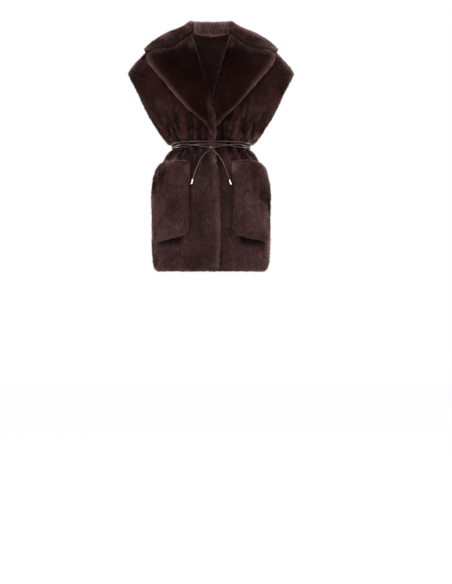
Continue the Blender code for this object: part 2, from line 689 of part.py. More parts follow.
def belt_point(turn):
    """Middle of the belt cord after a number of degrees round the waist, starting at the knot."""
    lap, angle = divmod(turn + 180.0, 360.0)
    lap = int(lap)
    front_angle = angle - 180.0
    if abs(front_angle) <= 90.0:
        name = STRAND_ORDER[lap]
        height = strand(name, STRAND_HEIGHTS, front_angle)
        lift = strand(name, STRAND_LIFTS, front_angle)
        base = section_point(-front_angle, height, -1)
    else:
        behind = (turn % 360.0 - 90.0) / 180.0
        crossing = int(turn // 360.0)
        start = STRAND_HEIGHTS[STRAND_ORDER[crossing]][-1]
        end = STRAND_HEIGHTS[STRAND_ORDER[crossing + 1]][-1]
        height = start + (end - start) * behind
        lift = 0.0
        if crossing == 1:
            lift = CROSSING_LIFT * smooth_step(min(behind, 1.0 - behind), 0.0, 0.07)
        base = section_point(180.0 * behind - 90.0, height, 1)
    away = CORD_DIAMETER / 2.0 + CORD_CLEARANCE
    point = base * np.array((1.01, 1.01, 1.0))
    for _ in range(4):
        point = stand_off(point, away)
    out = point * np.array((1.0, 1.0, 0.0))
    return point + out / np.linalg.norm(out) * lift


def even_points(points, count):
    """Points at even steps along a polyline."""
    points = np.array(points)
    steps = np.linalg.norm(np.diff(points, axis=0), axis=1)
    lengths = np.concatenate(([0.0], np.cumsum(steps)))
    wanted = np.linspace(0.0, lengths[-1], count)
    return np.stack([np.interp(wanted, lengths, points[:, axis]) for axis in range(3)], axis=1)


def make_belt(material):
    """One cord wound three times round the waist, closed at the knot."""
    start = section_angle(KNOT_ENTRY_X, KNOT_CENTRE[2], -1)
    fine = [belt_point(turn) for turn in np.arange(start, 1080.0 - start, 1.5)]
    path = even_points(fine, 3 * BELT_POINTS)
    tangents = np.gradient(path, axis=0)
    tangents /= np.linalg.norm(tangents, axis=1, keepdims=True)
    vertices, faces = [], []
    for point, along in zip(path, tangents):
        up = np.array((0.0, 0.0, 1.0)) - along * along[2]
        up /= np.linalg.norm(up)
        out = np.cross(along, up)
        for k in range(BELT_SIDES):
            turn = 2.0 * math.pi * (k + 0.5) / BELT_SIDES
            vertices.append(point + CORD_DIAMETER / 2.0 * (math.cos(turn) * up + math.sin(turn) * out))
    for i in range(len(path) - 1):
        for k in range(BELT_SIDES):
            after = (k + 1) % BELT_SIDES
            a, b = i * BELT_SIDES, (i + 1) * BELT_SIDES
            faces.append((a + k, a + after, b + after, b + k))
    last = (len(path) - 1) * BELT_SIDES
    faces.append(tuple(range(BELT_SIDES)))
    faces.append(tuple(range(last, last + BELT_SIDES)))
    return make_object("belt_wraps", vertices, faces, material)


def make_knot(material):
    """The knot, a small barrel with two waists where the cord crosses itself."""
    rings, sides = 9, 12
    vertices, faces = [], []
    for i in range(rings):
        level = math.pi * (i + 0.5) / rings
        pinch = 1.0 - 0.12 * math.cos(4.0 * level) ** 2
        for k in range(sides):
            turn = 2.0 * math.pi * k / sides
            flat = math.sin(level) ** 0.7 * pinch
            offset = (flat * math.cos(turn), flat * math.sin(turn), math.cos(level))
            vertices.append([c + h * o for c, h, o in zip(KNOT_CENTRE, KNOT_HALF_SIZE, offset)])
    for i in range(rings - 1):
        for k in range(sides):
            after = (k + 1) % sides
            faces.append((i * sides + k, i * sides + after, (i + 1) * sides + after, (i + 1) * sides + k))
    faces.append(tuple(range(sides)))
    faces.append(tuple(range((rings - 1) * sides, rings * sides)))
    return make_object("belt_knot", vertices, faces, material)


def end_route(rows):
    """Route points of a free end, standing off the front of the skirt."""
    route = []
    for x, height, off in rows:
        base = outside(abs(x), height, -1)
        base[0] = x
        out = facing(outside(abs(x), height, -1), -1) * np.array((math.copysign(1.0, x), 1.0, 0.0))
        route.append(base + out / np.linalg.norm(out) * off)
    return route


def make_end(name, rows, material):
    """A free end of the cord, from the knot down to its tip."""
    smooth = even_points(curve_points(end_route(rows), 12), END_SAMPLES)
    data = bpy.data.curves.new(name, "CURVE")
    data.dimensions = "3D"
    data.bevel_depth = CORD_DIAMETER / 2.0 * MM
    data.bevel_resolution = 2
    data.use_fill_caps = True
    spline = data.splines.new("POLY")
    spline.points.add(len(smooth) - 1)
    for point, place in zip(spline.points, smooth):
        point.co = (*(float(c) * MM for c in place), 1.0)
    data.materials.append(material)
    made = bpy.data.objects.new(name, data)
    bpy.context.scene.collection.objects.link(made)
    return smooth


def make_tip(name, path, material):
    """A flared metal tip on the end of a cord."""
    along = path[-1] - path[-3]
    along /= np.linalg.norm(along)
    start = path[-1] + along * SEAM_GAP
    side = np.cross(along, (0.0, 1.0, 0.0))
    side /= np.linalg.norm(side)
    up = np.cross(side, along)
    vertices, faces = [], []
    for distance, radius in TIP_PROFILE:
        for k in range(TIP_SIDES):
            turn = 2.0 * math.pi * k / TIP_SIDES
            vertices.append(start + along * distance + radius * (math.cos(turn) * side + math.sin(turn) * up))
    for i in range(len(TIP_PROFILE) - 1):
        for k in range(TIP_SIDES):
            after = (k + 1) % TIP_SIDES
            a, b = i * TIP_SIDES, (i + 1) * TIP_SIDES
            faces.append((a + k, a + after, b + after, b + k))
    last = (len(TIP_PROFILE) - 1) * TIP_SIDES
    faces.append(tuple(range(TIP_SIDES)))
    faces.append(tuple(range(last, last + TIP_SIDES)))
    return make_object(name, vertices, faces, material)


def make_material(name):
    colour, roughness, metallic = MATERIALS[name]
    material = bpy.data.materials.new(name)
    material.use_nodes = True
    shader = material.node_tree.nodes["Principled BSDF"]
    shader.inputs["Base Color"].default_value = colour
    shader.inputs["Roughness"].default_value = roughness
    shader.inputs["Metallic"].default_value = metallic
    return material


def main():
    for old in list(bpy.data.objects):
        bpy.data.objects.remove(old, do_unlink=True)
    fur = make_material("fur")
    dark = make_material("fur_dark")
    leather = make_material("leather")
    metal = make_material("tip_metal")
    make_back(fur)
    make_front("front_right", -1, fur)
    make_front("front_left", 1, fur)
    make_collar(fur)
    make_lapel("lapel_right", -1, LAPEL_RIGHT_ROWS, dark)
    make_lapel("lapel_left", 1, LAPEL_LEFT_ROWS, dark)
    make_pocket("pocket_right", -1, fur)
    make_pocket("pocket_left", 1, fur)
    make_belt(leather)
    make_knot(leather)
    right = make_end("belt_end_right", END_RIGHT, leather)
    left = make_end("belt_end_left", END_LEFT, leather)
    make_tip("belt_tip_right", right, metal)
    make_tip("belt_tip_left", left, metal)


main()
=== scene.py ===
"""Looks of the faux fur vest: a pelt and its pile for each fur piece, the leather cord and its metal tips."""

import math

import bmesh
import bpy
import numpy as np
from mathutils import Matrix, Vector
from mathutils.bvhtree import BVHTree
from mathutils.kdtree import KDTree


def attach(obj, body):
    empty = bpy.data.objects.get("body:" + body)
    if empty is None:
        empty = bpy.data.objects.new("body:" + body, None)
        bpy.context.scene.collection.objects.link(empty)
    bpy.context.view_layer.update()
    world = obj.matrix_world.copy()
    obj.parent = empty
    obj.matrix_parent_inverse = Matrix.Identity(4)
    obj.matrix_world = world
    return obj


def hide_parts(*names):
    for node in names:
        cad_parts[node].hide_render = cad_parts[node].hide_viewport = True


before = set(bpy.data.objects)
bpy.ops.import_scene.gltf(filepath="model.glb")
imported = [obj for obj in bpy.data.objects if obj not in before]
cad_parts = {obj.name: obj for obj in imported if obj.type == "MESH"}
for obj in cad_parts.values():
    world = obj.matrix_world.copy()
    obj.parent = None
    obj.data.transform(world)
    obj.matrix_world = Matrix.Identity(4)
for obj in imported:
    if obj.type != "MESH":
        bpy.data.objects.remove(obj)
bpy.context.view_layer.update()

# The photograph's frame: 452 by 584 picture elements, 3.2 mm each at the vest
PICTURE = (452, 584)
ELEMENT = 0.0032
CAMERA_DISTANCE = 12.0
CAMERA_HEIGHT = -0.80
VEST_LEFT_OF_CENTRE = 15
SENSOR = 36.0
FLOOR_HEIGHT = -1.635
FLOOR_RADIUS = 22.0
FLOOR_GREY = 0.985
LIT_POINT = (0.0, 0.0, -0.35)
# Lights: place, size and power
LIGHTS = {
    "key": ((-1.6, -3.2, 1.6), 1.6, 60.0),
    "fill": ((2.2, -2.8, 0.4), 2.0, 30.0),
    "back_light": ((0.6, 3.0, 1.4), 2.0, 40.0),
    "side_left": ((-3.0, 0.7, 0.1), 1.6, 65.0),
    "side_right": ((3.0, 0.7, 0.1), 1.6, 65.0),
}

# Pile: its depth and that depth's share of the wall, how far tips stand out, width, lean and tufts, in metres
PILE = 0.0050
PILE_SHARE = 0.42
PILE_LEAST = 0.0006
PILE_UNFURRED = 0.0002
TIP_OUT = (0.0003, 0.0026)
BLADE_WIDTH = (0.0010, 0.0020)
BLADE_LEAN = (0.6, 1.3)
BLADE_TWIST = 0.6
ROOT_UNDER = 2e-4
CLUMP = 0.011
CLUMP_KEYS = 8191
# How blades turn: with the brushing, into their tuft and at random
BRUSHING = 0.35
INTO_TUFT = 0.8
ASTRAY = 0.28
# How a blade's lit normal leans: out of the body, with the blade, out of its tuft and at random
LIT_OUTWARD = 2.0
LIT_ALONG = 0.30
LIT_TUFT = 0.22
LIT_ASTRAY = 0.07
# Tone and the painted rim highlight from a blade's two roots to its tip
TONE_ALONG = (0.12, 0.12, 0.8)
RIM_ALONG = (0.3, 0.3, 1.0)

# Where pile grows: not on faces that turn into the body, nor where another piece lies closer than this
TURNED_IN = {"pocket_right": -0.6, "pocket_left": -0.6}
TURNED_IN_ELSE = -0.2
UNDER = 0.0045
# Pile that faces outward by less than this share gets painted shade on the fronts and the lapels
INWARD_FROM = 0.45
INWARD_PAINTED_SHADE = 0.9

# Thickness of a wall: how far it is looked for, and the slanted rays that find a turned edge near a point
THICKEST = 0.03
OFF_SURFACE = 2e-4
SLANT = 0.52
SLANTS = 6
SLANT_LONGER = 1.45
EDGE_UNDER = 0.84
EDGE_RANGE = 0.5

# Turned edges with a painted highlight: lighter pile standing in for the light the edges catch
RIM_FROM = 0.35
RIM_WIDTH = 0.017
SEAM_HALF = 0.002
HEM_TOP = -0.72
LAPEL_FOOT = -0.20
LAPEL_FOLD = 0.10
LAPEL_SIDE = 0.2
LAPEL_TOP = 0.45
LAPEL_TOP_HEIGHT = -0.02
LAPEL_TOP_ACROSS = 0.09
POCKET_TOP = 0.25
PLACKET = 0.032
GATHERS_TOP = -0.19
GATHERS_FOOT = -0.62
GATHERS_HALF = 0.145
FRONT_RIM = 0.6

# Form and its relief: passes, how much deeper folds get, and how relief paints a highlight on what stands out
# and shade in hollows
ROUNDING_PASSES = 4
SMOOTHING_PASSES = 26
DEEPER = 0.6
RELIEF_GAIN = 150.0
RELIEF_LIGHT = (0.35, 1.22)

# Free ends of the cord, from the knot down, and the cord's thickness
CORD_DIAMETER = 0.003
CORD_SAMPLES = 40
END_ROUTES = {
    "belt_end_right": (
        (-0.0030, -0.1002, -0.3469),
        (-0.0101, -0.1071, -0.3540),
        (-0.0212, -0.1130, -0.3625),
        (-0.0343, -0.1231, -0.3820),
        (-0.0454, -0.1311, -0.4070),
        (-0.0526, -0.1363, -0.4275),
        (-0.0575, -0.1395, -0.4430),
    ),
    "belt_end_left": (
        (0.0030, -0.1002, -0.3469),
        (0.0106, -0.1076, -0.3545),
        (0.0222, -0.1143, -0.3645),
        (0.0353, -0.1238, -0.3840),
        (0.0464, -0.1315, -0.4090),
        (0.0536, -0.1363, -0.4290),
        (0.0585, -0.1395, -0.4445),
    ),
}
KNOT_CENTRE = (0.0, -0.0988, -0.3400)
KNOT_COIL = (0.0035, 0.0032, 0.0044)
KNOT_TURNS = 3.0
KNOT_SAMPLES = 90
KNOT_CORD = 0.9

# Metal tip: distance along it and radius, with a rolled rim at the mouth and a ring by the cord
TIP_PROFILE = (
    (0.0000, 0.0000),
    (0.0000, 0.0021),
    (0.0004, 0.0026),
    (0.0014, 0.0030),
    (0.0022, 0.0028),
    (0.0030, 0.0027),
    (0.0060, 0.0028),
    (0.0100, 0.0032),
    (0.0135, 0.0037),
    (0.0150, 0.0040),
    (0.0157, 0.0040),
    (0.0160, 0.0037),
    (0.0158, 0.0033),
    (0.0140, 0.0028),
    (0.0120, 0.0000),
)
TIP_SIDES = 40
TIP_GAP = 0.0003

# Where the collar's nap starts
NECK = (0.0, 0.02, 0.06)

# How much of the sky a point of the pile sees, used to paint shade into the pile: number of rays and how far
# they look, in metres
SKY_RAYS = 14
SKY_REACH = 0.06
SKY_DARK = 0.45
SKY_BRIGHT = 0.92
SKY_TILTS = (0.36, 0.62)
SKY_LIFT = 1.5e-3
SHADE_IN_HOLLOWS = 0.18
# Painted shade where the collar meets the lapels, and painted shadow on the fronts under the pockets
GORGE_WIDTH = 0.022
GORGE_PAINTED_SHADE = 0.90
POCKET_BOTTOM = -0.583
POCKET_SHADE_FADE = 0.012
# Heights between which the skirt's pile turns into the chest's and the chest's into the collar's
BRUSHED_FROM = -0.36
BRUSHED_TO = -0.28
# How much darker the chest's pile is painted than the skirt's, painted shade for the light its nap catches
CHEST_PAINTED_DARKER = 0.55
COLLAR_FROM = -0.085
COLLAR_TO = -0.055
COLLAR_SHADE = 0.74

# The fronts, and the y part of the normals that face forward
FRONTS = ("front_right", "front_left")
FRONT_FACES = -0.15

# Main folds of the fronts over the belt and under it: points (x, z) from the free end to the belt, and depth
FOLDS = (
    (((-0.104, -0.183), (-0.111, -0.229), (-0.113, -0.275), (-0.108, -0.322)), 1.0),
    (((-0.078, -0.205), (-0.070, -0.240), (-0.063, -0.275), (-0.065, -0.322)), 1.0),
    (((-0.036, -0.235), (-0.034, -0.265), (-0.038, -0.322)), 0.8),
    (((-0.012, -0.262), (-0.013, -0.285), (-0.018, -0.322)), 0.6),
    (((-0.131, -0.240), (-0.135, -0.280), (-0.134, -0.326)), 0.7),
    (((0.062, -0.195), (0.059, -0.225), (0.056, -0.275), (0.054, -0.322)), 1.0),
    (((0.116, -0.165), (0.109, -0.206), (0.104, -0.266), (0.097, -0.322)), 1.0),
    (((0.028, -0.245), (0.033, -0.270), (0.038, -0.322)), 0.8),
    (((0.135, -0.235), (0.134, -0.280), (0.129, -0.326)), 0.7),
    (((-0.106, -0.396), (-0.097, -0.372), (-0.085, -0.345)), 0.9),
    (((-0.061, -0.415), (-0.054, -0.380), (-0.045, -0.345)), 0.9),
    (((-0.150, -0.392), (-0.135, -0.372), (-0.112, -0.349)), 0.7),
    (((-0.018, -0.400), (-0.020, -0.345)), 0.5),
    (((0.084, -0.398), (0.074, -0.372), (0.061, -0.345)), 0.9),
    (((0.124, -0.392), (0.110, -0.370), (0.091, -0.345)), 0.9),
    (((0.036, -0.415), (0.030, -0.380), (0.024, -0.345)), 0.8),
    (((0.152, -0.394), (0.138, -0.372), (0.118, -0.349)), 0.7),
)
FOLD_WIDTH = 0.0080
FOLD_DEPTH = 0.0075
FOLD_TILT = 1.3
FOLD_STEP = 0.003
# Painted shade in the folds' cores and painted highlight on the ridges beside them: width, where the ridge
# lies and strength
FOLD_CORE = 0.0075
FOLD_PAINTED_SHADE = 0.95
RIDGE_AT = 0.020
RIDGE_CORE = 0.0080
RIDGE_PAINTED_HIGHLIGHT = 0.95
# The solids' own gathers are smoothed on the fronts between these heights, where the main folds lie
SMOOTHED_BY = 0.005
SMOOTHED_FROM = -0.42
SMOOTHED_TO = -0.17
SMOOTHED_FADE = 0.03


def link(obj):
    bpy.context.scene.collection.objects.link(obj)
    return obj


def make_camera():
    data = bpy.data.cameras.new("camera")
    data.sensor_fit = "HORIZONTAL"
    data.sensor_width = SENSOR
    data.lens = SENSOR * CAMERA_DISTANCE / (PICTURE[0] * ELEMENT)
    data.shift_x = VEST_LEFT_OF_CENTRE / PICTURE[0]
    data.clip_end = 100.0
    camera = link(bpy.data.objects.new("camera", data))
    camera.location = (0.0, -CAMERA_DISTANCE, CAMERA_HEIGHT)
    camera.rotation_euler = (math.pi / 2.0, 0.0, 0.0)
    bpy.context.scene.camera = camera


def make_light(name, place, size, power):
    data = bpy.data.lights.new(name, "AREA")
    data.shape = "DISK"
    data.size = size
    data.energy = power
    light = link(bpy.data.objects.new(name, data))
    light.location = place
    light.rotation_euler = (Vector(LIT_POINT) - Vector(place)).to_track_quat("-Z", "Y").to_euler()


def make_studio():
    scene = bpy.context.scene
    scene.view_settings.view_transform = "Standard"
    world = bpy.data.worlds.new("studio")
    scene.world = world
    world.use_nodes = True
    world.node_tree.nodes["Background"].inputs["Color"].default_value = (1.0, 1.0, 1.0, 1.0)
    world.node_tree.nodes["Background"].inputs["Strength"].default_value = 1.0
    for name, row in LIGHTS.items():
        make_light(name, *row)
    work = bmesh.new()
    bmesh.ops.create_circle(work, cap_ends=True, segments=96, radius=FLOOR_RADIUS)
    mesh = bpy.data.meshes.new("floor")
    work.to_mesh(mesh)
    work.free()
    floor = link(bpy.data.objects.new("floor", mesh))
    floor.location = (0.0, 0.0, FLOOR_HEIGHT)
    material, tree, shader = new_material("floor")
    shader.inputs["Base Color"].default_value = (FLOOR_GREY, FLOOR_GREY, FLOOR_GREY, 1.0)
    shader.inputs["Roughness"].default_value = 0.8
    mesh.materials.append(material)


def new_material(name):
    material = bpy.data.materials.new(name)
    material.use_nodes = True
    tree = material.node_tree
    return material, tree, tree.nodes["Principled BSDF"]


def node(tree, kind, **values):
    """A node with its settings, and its inputs by name."""
    made = tree.nodes.new(kind)
    for key, value in values.items():
        if key in made.inputs:
            made.inputs[key].default_value = value
        else:
            setattr(made, key, value)
    return made


def noise(tree, scale, detail, stretch=(1.0, 1.0, 1.0)):
    """Noise in the object's own space, about scale spots a metre."""
    place = node(tree, "ShaderNodeTexCoord")
    mapping = node(tree, "ShaderNodeMapping")
    mapping.inputs["Scale"].default_value = stretch
    tree.links.new(place.outputs["Object"], mapping.inputs["Vector"])
    made = node(tree, "ShaderNodeTexNoise", Scale=scale, Detail=detail)
    tree.links.new(mapping.outputs["Vector"], made.inputs["Vector"])
    return made.outputs["Fac"]


def ranged(tree, value, low, high, start=0.3, end=0.7):
    made = node(tree, "ShaderNodeMapRange")
    made.inputs["From Min"].default_value = start
    made.inputs["From Max"].default_value = end
    made.inputs["To Min"].default_value = low
    made.inputs["To Max"].default_value = high
    tree.links.new(value, made.inputs["Value"])
    return made.outputs["Result"]


def times(tree, first, second):
    made = node(tree, "ShaderNodeMath", operation="MULTIPLY")
    tree.links.new(first, made.inputs[0])
    tree.links.new(second, made.inputs[1])
    return made.outputs["Value"]


def mixed(tree, share, first, second):
    """A colour between two. Each is a colour or an output."""
    made = node(tree, "ShaderNodeMix", data_type="RGBA")
    tree.links.new(share, made.inputs["Factor"])
    for value, socket in ((first, made.inputs[6]), (second, made.inputs[7])):
        if isinstance(value, tuple):
            socket.default_value = (*value, 1.0)
        else:
            tree.links.new(value, socket)
    return made.outputs[2]


def scaled(tree, colour, factor):
    """A colour made lighter or darker by a factor."""
    made = node(tree, "ShaderNodeVectorMath", operation="SCALE")
    tree.links.new(colour, made.inputs[0])
    tree.links.new(factor, made.inputs["Scale"])
    return made.outputs["Vector"]


def fur_material(name, root, tip, rim):
    """Pile: dark at the root, lighter at the tip, mottled where it is brushed, with a painted highlight along
    turned edges and the painted light and shade that each blade carries.
    """
    material, tree, shader = new_material(name)
    tone = node(tree, "ShaderNodeAttribute", attribute_name="tone").outputs["Fac"]
    edge = node(tree, "ShaderNodeAttribute", attribute_name="rim").outputs["Fac"]
    # The light attribute carries each blade's painted light and shade
    light = node(tree, "ShaderNodeAttribute", attribute_name="light").outputs["Fac"]
    height = node(tree, "ShaderNodeSeparateXYZ")
    tree.links.new(node(tree, "ShaderNodeTexCoord").outputs["Object"], height.inputs[0])
    above = ranged(tree, height.outputs["Z"], 0.0, 0.75, BRUSHED_FROM, BRUSHED_TO)
    above = times(tree, above, ranged(tree, height.outputs["Z"], 1.0, 0.0, COLLAR_FROM, COLLAR_TO))
    spots = ranged(tree, noise(tree, 17.0, 2.0), 0.0, 0.25)
    warmth = node(tree, "ShaderNodeMath", operation="ADD")
    tree.links.new(above, warmth.inputs[0])
    tree.links.new(spots, warmth.inputs[1])
    warm = scaled_by(tip, (1.02, 0.96, 0.90))
    cool = scaled_by(tip, (0.98, 1.28, 1.42))
    hue = mixed(tree, warmth.outputs["Value"], cool, warm)
    colour = mixed(tree, tone, root, hue)
    # Painted highlight along turned edges, broken into patches by noise
    rim_highlight_patches = ranged(tree, noise(tree, 55.0, 2.0), 0.75, 1.20)
    colour = mixed(tree, times(tree, edge, rim_highlight_patches), colour, rim)
    brushed = ranged(tree, noise(tree, 13.0, 3.0, (1.0, 1.0, 0.8)), 0.60, 1.40)
    streaks = ranged(tree, noise(tree, 75.0, 2.0, (0.8, 1.0, 1.2)), 0.86, 1.14)
    colour = scaled(tree, colour, times(tree, times(tree, brushed, streaks), light))
    tree.links.new(colour, shader.inputs["Base Color"])
    shader.inputs["Roughness"].default_value = 0.75
    shader.inputs["Specular IOR Level"].default_value = 0.02
    shader.inputs["Sheen Weight"].default_value = 0.55
    shader.inputs["Sheen Roughness"].default_value = 0.28
    shader.inputs["Sheen Tint"].default_value = (0.84, 0.48, 0.44, 1.0)
    return material


def scaled_by(colour, factors):
    """A fixed colour with each channel scaled."""
    return tuple(value * factor for value, factor in zip(colour, factors))


def pelt_material():
    """The knitted backing under the pile."""
    material, tree, shader = new_material("pelt")
    knit = noise(tree, 900.0, 2.0, (1.0, 1.0, 0.35))
    colour = mixed(tree, ranged(tree, knit, 0.0, 1.0), (0.022, 0.010, 0.009), (0.040, 0.019, 0.017))
    colour = scaled(tree, colour, ranged(tree, noise(tree, 30.0, 2.0), 0.8, 1.2))
    tree.links.new(colour, shader.inputs["Base Color"])
    shader.inputs["Roughness"].default_value = 0.9
    shader.inputs["Specular IOR Level"].default_value = 0.08
    bump = node(tree, "ShaderNodeBump", Strength=0.35, Distance=0.0006)
    tree.links.new(knit, bump.inputs["Height"])
    tree.links.new(bump.outputs["Normal"], shader.inputs["Normal"])
    return material


def leather_material():
    material, tree, shader = new_material("cord_leather")
    grain = noise(tree, 700.0, 3.0)
    colour = mixed(tree, ranged(tree, grain, 0.0, 1.0), (0.026, 0.010, 0.009), (0.055, 0.024, 0.021))
    tree.links.new(colour, shader.inputs["Base Color"])
    shader.inputs["Roughness"].default_value = 0.28
    shader.inputs["Specular IOR Level"].default_value = 0.3
    shader.inputs["Coat Weight"].default_value = 0.7
    shader.inputs["Coat Roughness"].default_value = 0.12
    bump = node(tree, "ShaderNodeBump", Strength=0.2, Distance=0.0002)
    tree.links.new(grain, bump.inputs["Height"])
    tree.links.new(bump.outputs["Normal"], shader.inputs["Normal"])
    return material


def gold_material():
    material, tree, shader = new_material("tip_gold")
    wear = noise(tree, 400.0, 2.0)
    colour = mixed(tree, ranged(tree, wear, 0.0, 1.0), (0.72, 0.56, 0.34), (0.86, 0.74, 0.54))
    tree.links.new(colour, shader.inputs["Base Color"])
    tree.links.new(ranged(tree, wear, 0.18, 0.32), shader.inputs["Roughness"])
    shader.inputs["Metallic"].default_value = 1.0
    return material


def rounded_mesh(name, levels):
    """A CAD node's surface as a finer and rounder mesh that still passes through its points."""
    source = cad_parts[name]
    work = bmesh.new()
    work.from_mesh(source.data)
    work.transform(source.matrix_world)
    bmesh.ops.remove_doubles(work, verts=work.verts, dist=1e-5)
    bmesh.ops.join_triangles(work, faces=work.faces, angle_face_threshold=0.9, angle_shape_threshold=2.2)
    mesh = bpy.data.meshes.new(name + "_form")
    work.to_mesh(mesh)
    work.free()
    form = link(bpy.data.objects.new(name + "_form", mesh))
    modifier = form.modifiers.new("round", "SUBSURF")
    modifier.levels = levels
    wanted = vertex_points(mesh)
    made = None
    for _ in range(ROUNDING_PASSES):
        if made:
            off = wanted - vertex_points(made)[: len(wanted)]
            bpy.data.meshes.remove(made)
            mesh.vertices.foreach_set("co", (vertex_points(mesh) + off).ravel())
            mesh.update()
        depsgraph = bpy.context.evaluated_depsgraph_get()
        made = bpy.data.meshes.new_from_object(form.evaluated_get(depsgraph))
    bpy.data.objects.remove(form)
    bpy.data.meshes.remove(mesh)
    return made


def vertex_points(mesh):
    points = np.empty(len(mesh.vertices) * 3)
    mesh.vertices.foreach_get("co", points)
    return points.reshape(-1, 3)


def mesh_arrays(mesh):
    mesh.calc_loop_triangles()
    normals = np.empty(len(mesh.vertices) * 3)
    mesh.vertices.foreach_get("normal", normals)
    triangles = np.empty(len(mesh.loop_triangles) * 3, dtype=np.int32)
    mesh.loop_triangles.foreach_get("vertices", triangles)
    return vertex_points(mesh), normals.reshape(-1, 3), triangles.reshape(-1, 3)


def unit(vectors):
    return vectors / np.maximum(np.linalg.norm(vectors, axis=1, keepdims=True), 1e-9)


def tree_of(points, triangles):
    return BVHTree.FromPolygons(points.tolist(), triangles.tolist())


def around(normals, tilt, count):
    """Directions that lean away from the normals by a share, evenly all round."""
    side = unit(np.cross(normals, np.array((0.31, 0.17, 0.93))))
    other = np.cross(normals, side)
    made = []
    for turn in range(count):
        angle = 2.0 * math.pi * (turn + 0.5) / count
        made.append(unit(normals * (1.0 - tilt) + (side * math.cos(angle) + other * math.sin(angle)) * tilt))
    return made


def distances(points, direction, tree, reach):
    found = np.full(len(points), reach)
    for i, (start, way) in enumerate(zip(points.tolist(), direction.tolist())):
        distance = tree.ray_cast(Vector(start), Vector(way), reach)[3]
        if distance is not None:
            found[i] = distance
    return found


def thickness(points, normals, tree):
    """How thick the piece is under each point, and how near the point is to a turned edge, from 0 to 1."""
    straight = distances(points - normals * OFF_SURFACE, -normals, tree, THICKEST)
    slanted = np.full(len(points), THICKEST)
    for direction in around(-normals, SLANT, SLANTS):
        slanted = np.minimum(slanted, distances(points + direction * OFF_SURFACE, direction, tree, THICKEST))
    share = slanted / (straight * SLANT_LONGER)
    return np.minimum(straight, slanted), np.clip((EDGE_UNDER - share) / EDGE_RANGE, 0.0, 1.0)


def diffused(values, triangles, passes):
    """Values of the points, each time half way to the mean of their neighbours."""
    pairs = np.concatenate((triangles[:, (0, 1)], triangles[:, (1, 2)], triangles[:, (2, 0)]))
    size = len(values)
    count = np.bincount(pairs[:, 0], minlength=size) + np.bincount(pairs[:, 1], minlength=size)
    for _ in range(passes):
        total = np.bincount(pairs[:, 0], values[pairs[:, 1]], size)
        total += np.bincount(pairs[:, 1], values[pairs[:, 0]], size)
        values = 0.5 * values + 0.5 * total / np.maximum(count, 1)
    return values


def relief(points, normals, triangles):
    """How far each point stands out of the smoothed form, below 0 in a fold."""
    smooth = np.stack([diffused(points[:, axis], triangles, SMOOTHING_PASSES) for axis in range(3)], axis=1)
    return ((points - smooth) * normals).sum(axis=1)


def nearest_fold(points):
    """For each point of a front: how far the fold that matters most there is, and that fold's strength."""
    best = np.zeros(len(points))
    distance = np.full(len(points), 1.0)
    strong = np.zeros(len(points))
    flat = points[:, (0, 2)]
    for route, strength in FOLDS:
        route = np.array(route)
        runs = np.linalg.norm(route[1:] - route[:-1], axis=1)
        for number, run in enumerate(runs):
            way = (route[number + 1] - route[number]) / run
            along = np.clip((flat - route[number]) @ way, 0.0, run)
            away = np.linalg.norm(flat - route[number] - along[:, None] * way, axis=1)
            grown = strength * np.clip(2.0 * (runs[:number].sum() + along) / runs.sum(), 0.0, 1.0)
            score = grown * np.exp(-away / FOLD_WIDTH)
            better = score > best
            best = np.where(better, score, best)
            distance = np.where(better, away, distance)
            strong = np.where(better, grown, strong)
    return distance, strong


def fold_share(points):
    """How deep each point of a front is in a main fold, from 0 to 1."""
    distance, strong = nearest_fold(points)
    return strong * np.exp(-distance / FOLD_WIDTH)


def folded(place, normal):
    """For each blade: the share of the fold's depth, the painted shade and highlight there, and the normal in
    it.
    """
    facing = (normal[:, 1] < FRONT_FACES).astype(float)
    distance, strong = nearest_fold(place)
    strong *= facing
    share = strong * np.exp(-distance / FOLD_WIDTH)
    # Painted shade in the fold's core, painted highlight on the ridge beside it
    light = 1.0 - FOLD_PAINTED_SHADE * strong * np.exp(-((distance / FOLD_CORE) ** 2))
    light += RIDGE_PAINTED_HIGHLIGHT * strong * np.exp(-(((distance - RIDGE_AT) / RIDGE_CORE) ** 2))
    step = np.array((FOLD_STEP, 0.0, 0.0))
    slope = (fold_share(place + step) - fold_share(place - step)) * facing / (2.0 * FOLD_STEP)
    tilted = normal.copy()
    tilted[:, 0] += slope * FOLD_DEPTH * FOLD_TILT
    return share[:, None], light[:, None], unit(tilted)


def rim_near(points, seeds):
    """1 on a turned edge, less within the width of its rim."""
    if not len(seeds):
        return np.zeros(len(points))
    tree = KDTree(len(seeds))
    for i, seed in enumerate(seeds.tolist()):
        tree.insert(seed, i)
    tree.balance()
    away = np.array([tree.find(point)[2] for point in points.tolist()])
    share = np.clip(1.0 - away / RIM_WIDTH, 0.0, 1.0)
    return share * share * (3.0 - 2.0 * share)


def sky_share(points, normals, trees):
    """How much of the sky each point sees past the pieces round it."""
    open_share = np.zeros(len(points))
    directions = [normals]
    for tilt in SKY_TILTS:
        directions += around(normals, tilt, SKY_RAYS // len(SKY_TILTS))
    starts = points + normals * SKY_LIFT
    for direction in directions:
        nearest = np.full(len(points), SKY_REACH)
        for tree in trees:
            nearest = np.minimum(nearest, distances(starts, direction, tree, SKY_REACH))
        open_share += nearest / SKY_REACH
    return open_share / len(directions)


def gorge_painted_shade(points, lapels):
    """Painted shade on the collar where it meets the lapels, from 0 to 1."""
    dark = np.zeros(len(points))
    for tree in lapels:
        for i, point in enumerate(points.tolist()):
            gap = tree.find_nearest(point, GORGE_WIDTH)[3]
            if gap is not None:
                dark[i] = max(dark[i], 1.0 - gap / GORGE_WIDTH)
    return dark


def outward(points):
    """Rough direction out of the body at each point."""
    away = points * np.array((1.0, 1.5, 0.0))
    away[:, 2] = np.maximum(points[:, 2] + 0.15, 0.0)
    return unit(away)


